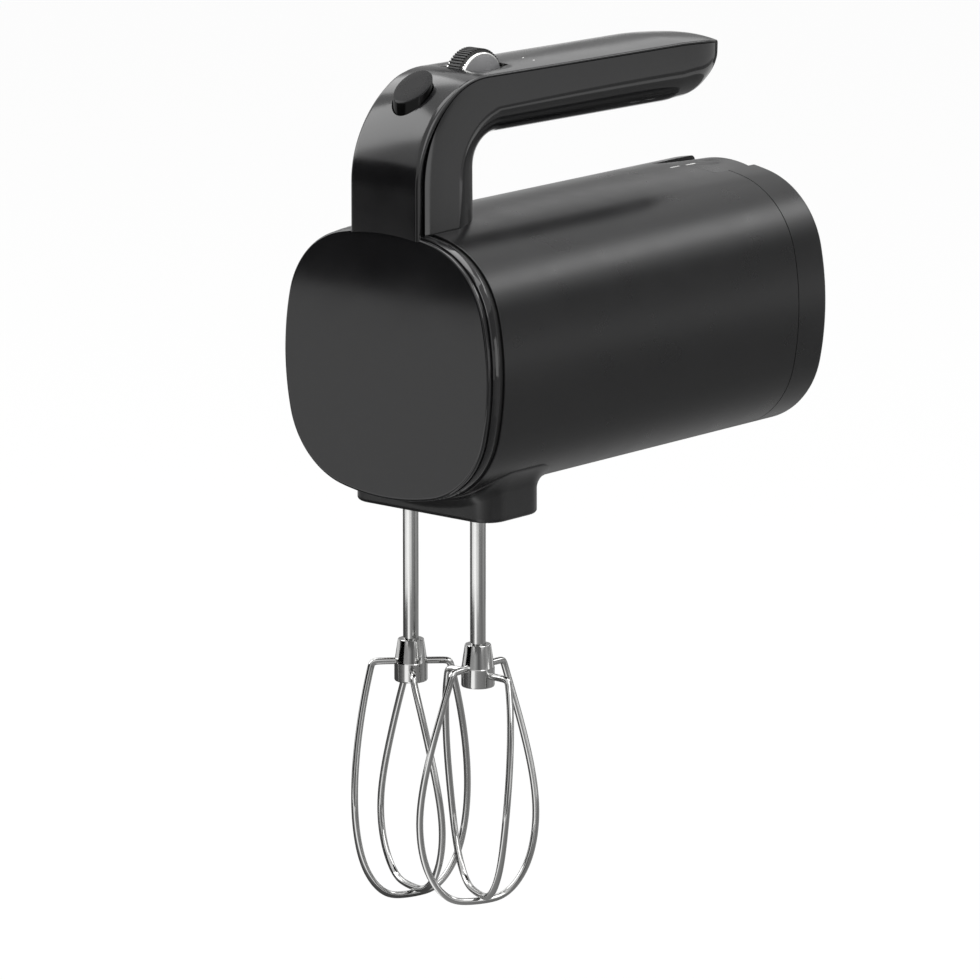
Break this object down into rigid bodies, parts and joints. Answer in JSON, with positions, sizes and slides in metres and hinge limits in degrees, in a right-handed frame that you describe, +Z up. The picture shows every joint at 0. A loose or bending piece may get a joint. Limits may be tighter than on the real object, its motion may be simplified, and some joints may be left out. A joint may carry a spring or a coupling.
{
  "type": "hand mixer",
  "caption": "Cordless hand mixer: squarish tube body, open handle with eject button and speed dial, worm drive and counter-rotating balloon whisks that pull out.",
  "frame": {"origin": "middle of the hand grip, where the hand closes round the handle", "axes": "+Z up with the whisks hanging down, front plate towards -Y, +X to the right seen from the front"},
  "size_m": [0.0998, 0.1978, 0.3203],
  "materials": {
    "housing_plastic": "satin charcoal",
    "plate_plastic": "satin dark grey",
    "gloss_plastic": "gloss black",
    "handle_plastic": "dark semi-gloss",
    "boss_plastic": "satin black",
    "inner_plastic": "moulded, natural grey",
    "dial_rubber": "ribbed, black",
    "dial_plastic": "smooth dark grey",
    "bright_trim": "bright plated",
    "whisk_steel": "polished stainless steel",
    "machined_steel": "machined steel",
    "bronze": "sintered bronze",
    "ferrite": "ferrite magnet",
    "circuit_board": "coated laminate",
    "circuit_parts": "moulded",
    "cell_wrap": "wrapped metal cans"
  },
  "bodies": {
    "mixer_body": {"front_plate": "plate_plastic", "front_bezel": "gloss_plastic", "main_housing": "housing_plastic", "rear_cover": "housing_plastic", "handle_outer_shell": "handle_plastic", "handle_inner_shell": "gloss_plastic", "handle_bracket": "inner_plastic", "spindle_boss": "boss_plastic", "lower_bushes": "bronze", "upper_bushes": "bronze", "gear_case": "inner_plastic", "gear_case_lid": "inner_plastic", "worm_bearing": "bronze", "motor_can": "machined_steel", "motor_end_cap": "inner_plastic", "motor_magnets": "ferrite", "motor_cradle": "inner_plastic", "control_board": "circuit_board", "board_parts": "circuit_parts", "battery_bay": "inner_plastic", "battery_terminals": "bronze", "dial_axle": "machined_steel", "speed_sensor": "circuit_parts", "rear_cover_screws": "machined_steel", "gear_case_screws": "machined_steel", "handle_screws": "machined_steel", "eject_spring": "machined_steel", "release_spring": "machined_steel"},
    "motor_rotor": {"motor_shaft": "machined_steel", "rotor_core": "machined_steel", "commutator": "bronze", "worm": "machined_steel"},
    "eject_slide": {"eject_button": "handle_plastic", "eject_rod": "inner_plastic", "ejector_yoke": "inner_plastic"},
    "dial_wheel": {"speed_dial": "dial_rubber", "dial_rings": "bright_trim", "dial_caps": "dial_plastic"},
    "battery_pack": {"battery_case": "inner_plastic", "battery_cells": "cell_wrap", "battery_contacts": "bronze", "battery_ring": "bright_trim", "battery_cap": "gloss_plastic"},
    "release_key": {"release_button": "housing_plastic"},
    "left_drive": {"left_spindle": "machined_steel", "left_worm_wheel": "inner_plastic"},
    "left_pusher": {"left_eject_pin": "inner_plastic"},
    "left_whisk": {"left_whisk_shaft": "whisk_steel", "left_whisk_hub": "whisk_steel", "left_whisk_loop_a": "whisk_steel", "left_whisk_loop_b": "whisk_steel"},
    "right_drive": {"right_spindle": "machined_steel", "right_worm_wheel": "inner_plastic"},
    "right_pusher": {"right_eject_pin": "inner_plastic"},
    "right_whisk": {"right_whisk_shaft": "whisk_steel", "right_whisk_hub": "whisk_steel", "right_whisk_loop_a": "whisk_steel", "right_whisk_loop_b": "whisk_steel"}
  },
  "joints": [
    {"name": "left_whisk_spin", "type": "hinge", "parent": "mixer_body", "child": "left_drive", "pos_m": [-0.01635, -0.0788, -0.11038], "axis": [0, 0, 1], "continuous": true},
    {"name": "right_whisk_spin", "type": "hinge", "parent": "mixer_body", "child": "right_drive", "pos_m": [0.01635, -0.0788, -0.11038], "axis": [0, 0, 1], "continuous": true},
    {"name": "motor_spin", "type": "hinge", "parent": "mixer_body", "child": "motor_rotor", "pos_m": [0, -0.0788, -0.11038], "axis": [0, 1, 0], "continuous": true},
    {"name": "eject_press", "type": "slide", "parent": "mixer_body", "child": "eject_slide", "axis": [0, 0, -1], "range_m": [0, 0.005], "stiffness_N_per_m": 900, "springref_m": -0.004, "deforming": ["eject_spring"]},
    {"name": "left_pin_push", "type": "slide", "parent": "left_drive", "child": "left_pusher", "axis": [0, 0, -1], "range_m": [0, 0.005]},
    {"name": "left_whisk_pull", "type": "slide", "parent": "left_pusher", "child": "left_whisk", "axis": [0, 0, -1], "range_m": [0, 0.062]},
    {"name": "right_pin_push", "type": "slide", "parent": "right_drive", "child": "right_pusher", "axis": [0, 0, -1], "range_m": [0, 0.005]},
    {"name": "right_whisk_pull", "type": "slide", "parent": "right_pusher", "child": "right_whisk", "axis": [0, 0, -1], "range_m": [0, 0.062]},
    {"name": "dial_turn", "type": "hinge", "parent": "mixer_body", "child": "dial_wheel", "pos_m": [0, -0.0625, 0.00572], "axis": [1, 0, 0], "range_deg": [0, 140]},
    {"name": "battery_draw", "type": "slide", "parent": "mixer_body", "child": "battery_pack", "axis": [0, 1, 0], "range_m": [0, 0.08]},
    {"name": "release_press", "type": "slide", "parent": "mixer_body", "child": "release_key", "axis": [0, 0, -1], "range_m": [0, 0.0022], "stiffness_N_per_m": 700, "springref_m": -0.0015, "deforming": ["release_spring"]}
  ],
  "couplings": [
    {"joint": "right_whisk_spin", "follows": "left_whisk_spin", "ratio": -1},
    {"joint": "motor_spin", "follows": "left_whisk_spin", "ratio": -20},
    {"joint": "left_pin_push", "follows": "eject_press", "ratio": 1},
    {"joint": "right_pin_push", "follows": "eject_press", "ratio": 1},
    {"joint": "right_whisk_pull", "follows": "left_whisk_pull", "ratio": 1}
  ]
}
